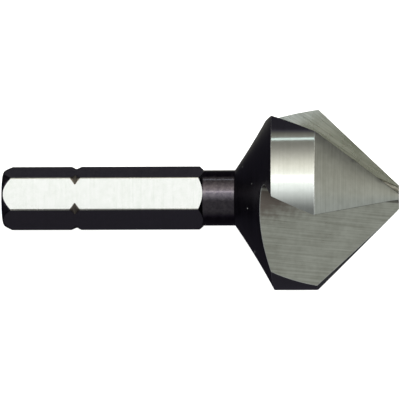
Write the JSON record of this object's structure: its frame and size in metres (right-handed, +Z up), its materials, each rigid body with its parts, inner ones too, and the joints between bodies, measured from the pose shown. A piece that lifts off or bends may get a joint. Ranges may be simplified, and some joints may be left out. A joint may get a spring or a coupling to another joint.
{
  "type": "countersink bit",
  "caption": "Countersink bit with relieved cutting teeth on a ninety-degree point, a short neck and a quick-change hexagonal shank with a detent groove.",
  "frame": {"origin": "middle of the underside of the bounding box, on the surface that the bit lies on", "axes": "+X along the bit from the shank end to the tip, which rises by about eleven degrees, and +Z up"},
  "size_m": [0.045, 0.0208, 0.0203],
  "materials": {
    "tool_steel": "bright ground shank flats, cone, margins and flutes, with a black neck and back of the head"
  },
  "bodies": {
    "root": {"countersink_bit": "tool_steel"}
  },
  "joints": []
}
